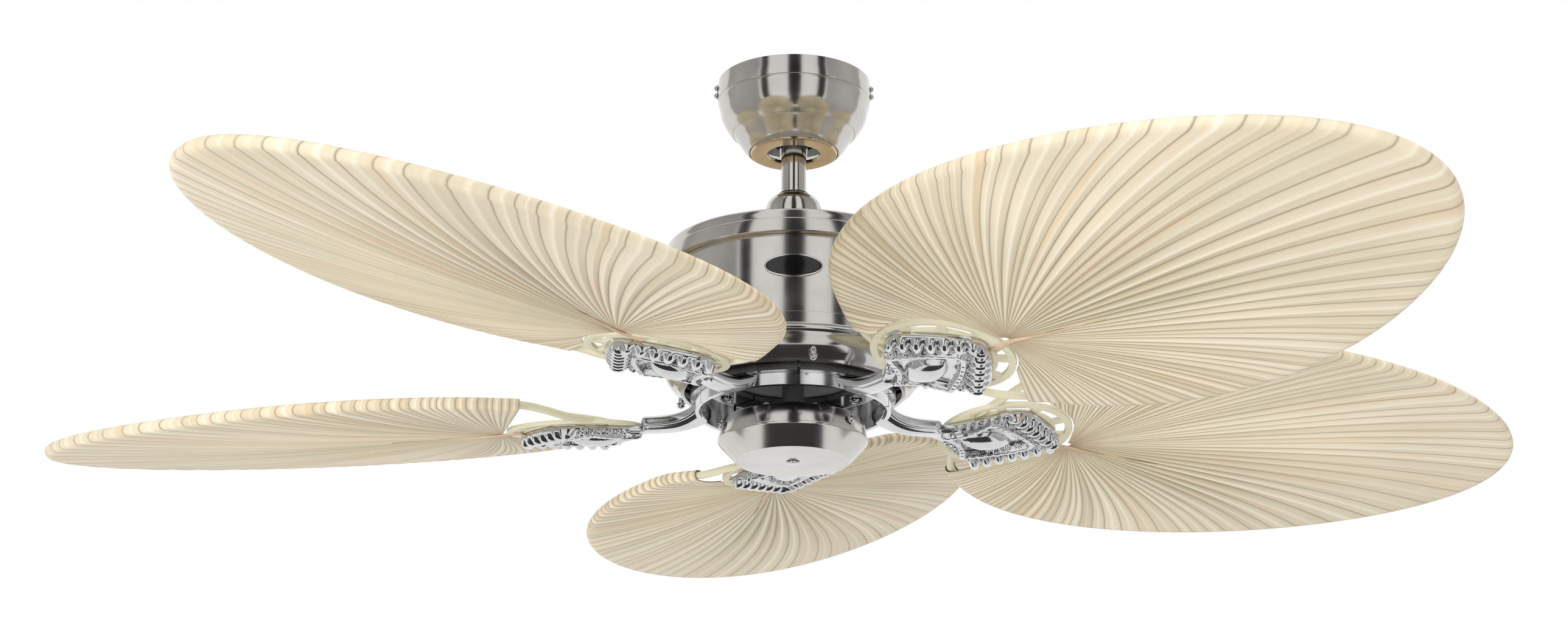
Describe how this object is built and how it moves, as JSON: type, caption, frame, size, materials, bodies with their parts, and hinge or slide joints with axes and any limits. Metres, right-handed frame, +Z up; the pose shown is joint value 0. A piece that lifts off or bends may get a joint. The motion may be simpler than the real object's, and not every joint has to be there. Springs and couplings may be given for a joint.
{
  "type": "ceiling fan",
  "caption": "Ceiling fan on a short downrod: domed canopy, drum motor and palm-leaf blades on ornate cast irons, with a ball hanger.",
  "frame": {"origin": "centre of the hanger bracket's top face, on the fan's axis at the ceiling plane", "axes": "+Z up along the downrod axis, +X towards the canopy's screwed side, the camera of the picture is on the -Y side"},
  "size_m": [1.2607, 1.2189, 0.3311],
  "materials": {
    "brushed_nickel": "satin, fine lines running round each turned piece",
    "polished_chrome": "polished",
    "cream_plastic": "semi-matte moulding",
    "palm_leaf": "dried pleated leaf, dull sheen on the ribs",
    "black_plastic": "satin black",
    "seal_rubber": "matt",
    "plain_steel": "plain zinc-plated",
    "winding_copper": "enamelled winding"
  },
  "bodies": {
    "ceiling_mount": {"hanger_bracket": "plain_steel", "canopy": "brushed_nickel", "canopy_trim_ring": "polished_chrome", "canopy_screw_1": "polished_chrome", "canopy_screw_2": "polished_chrome", "canopy_screw_3": "polished_chrome", "canopy_screw_4": "polished_chrome"},
    "hanging_motor": {"hanger_ball": "black_plastic", "ball_pin": "plain_steel", "downrod": "brushed_nickel", "coupling": "plain_steel", "coupling_pin": "plain_steel", "coupling_seal": "seal_rubber", "coupling_cover": "brushed_nickel", "motor_shaft": "plain_steel", "stator_core": "plain_steel", "winding_upper": "winding_copper", "winding_lower": "winding_copper", "housing_top_cover": "brushed_nickel", "housing_drum": "brushed_nickel", "housing_bowl": "brushed_nickel", "acorn_nut_1": "polished_chrome", "acorn_nut_2": "polished_chrome", "acorn_nut_3": "polished_chrome", "switch_plate": "black_plastic", "switch_cup": "brushed_nickel", "cup_screw_1": "polished_chrome", "cup_screw_2": "polished_chrome", "cup_screw_3": "polished_chrome", "finial_button": "polished_chrome"},
    "rotor": {"rotor_case": "plain_steel", "bearing_upper": "polished_chrome", "bearing_lower": "polished_chrome", "blade_iron_1": "polished_chrome", "blade_frame_1": "cream_plastic", "palm_leaf_1": "palm_leaf", "iron_screw_1a": "polished_chrome", "iron_screw_1b": "polished_chrome", "blade_iron_2": "polished_chrome", "blade_frame_2": "cream_plastic", "palm_leaf_2": "palm_leaf", "iron_screw_2a": "polished_chrome", "iron_screw_2b": "polished_chrome", "blade_iron_3": "polished_chrome", "blade_frame_3": "cream_plastic", "palm_leaf_3": "palm_leaf", "iron_screw_3a": "polished_chrome", "iron_screw_3b": "polished_chrome", "blade_iron_4": "polished_chrome", "blade_frame_4": "cream_plastic", "palm_leaf_4": "palm_leaf", "iron_screw_4a": "polished_chrome", "iron_screw_4b": "polished_chrome", "blade_iron_5": "polished_chrome", "blade_frame_5": "cream_plastic", "palm_leaf_5": "palm_leaf", "iron_screw_5a": "polished_chrome", "iron_screw_5b": "polished_chrome"}
  },
  "joints": [
    {"name": "ball_swing", "type": "hinge", "parent": "ceiling_mount", "child": "hanging_motor", "pos_m": [0, 0, -0.038], "axis": [1, 0, 0], "range_deg": [-12, 12]},
    {"name": "fan_spin", "type": "hinge", "parent": "hanging_motor", "child": "rotor", "pos_m": [0, 0, -0.2], "axis": [0, 0, 1], "continuous": true}
  ]
}
